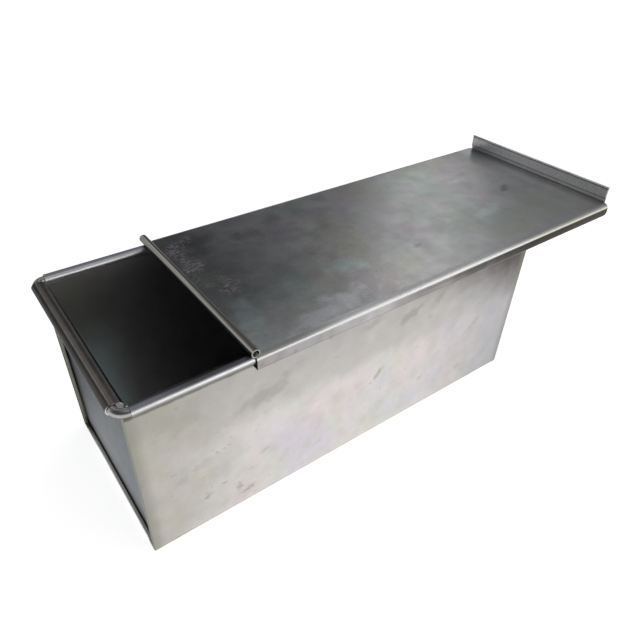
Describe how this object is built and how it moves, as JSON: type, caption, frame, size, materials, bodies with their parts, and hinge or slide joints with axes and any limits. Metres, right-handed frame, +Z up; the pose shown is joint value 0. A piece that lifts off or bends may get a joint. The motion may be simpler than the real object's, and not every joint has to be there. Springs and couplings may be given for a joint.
{
  "type": "pullman loaf pan",
  "caption": "Straight-sided rectangular bread tin folded from steel sheet, with a wired rolled rim and a flat lid that slides along it to close the loaf in.",
  "frame": {"origin": "middle of the pan's flat underside", "axes": "+X along the pan, towards the lid's upstand and the way the lid is drawn open; +Y across the pan; +Z up"},
  "size_m": [0.3902, 0.1438, 0.1355],
  "materials": {
    "pan_steel": "bare sheet steel, satin, with faint mottling and small dark marks",
    "wire_steel": "bare drawn steel wire",
    "lid_steel": "bare sheet steel, satin, stained and scuffed by use"
  },
  "bodies": {
    "pan": {"pan_trough": "pan_steel", "left_end_plate": "pan_steel", "right_end_plate": "pan_steel", "rim_wire": "wire_steel"},
    "lid": {"sliding_lid": "lid_steel"}
  },
  "joints": [
    {"name": "lid_slide", "type": "slide", "parent": "pan", "child": "lid", "axis": [1, 0, 0], "range_m": [-0.0757, 0.242]}
  ]
}
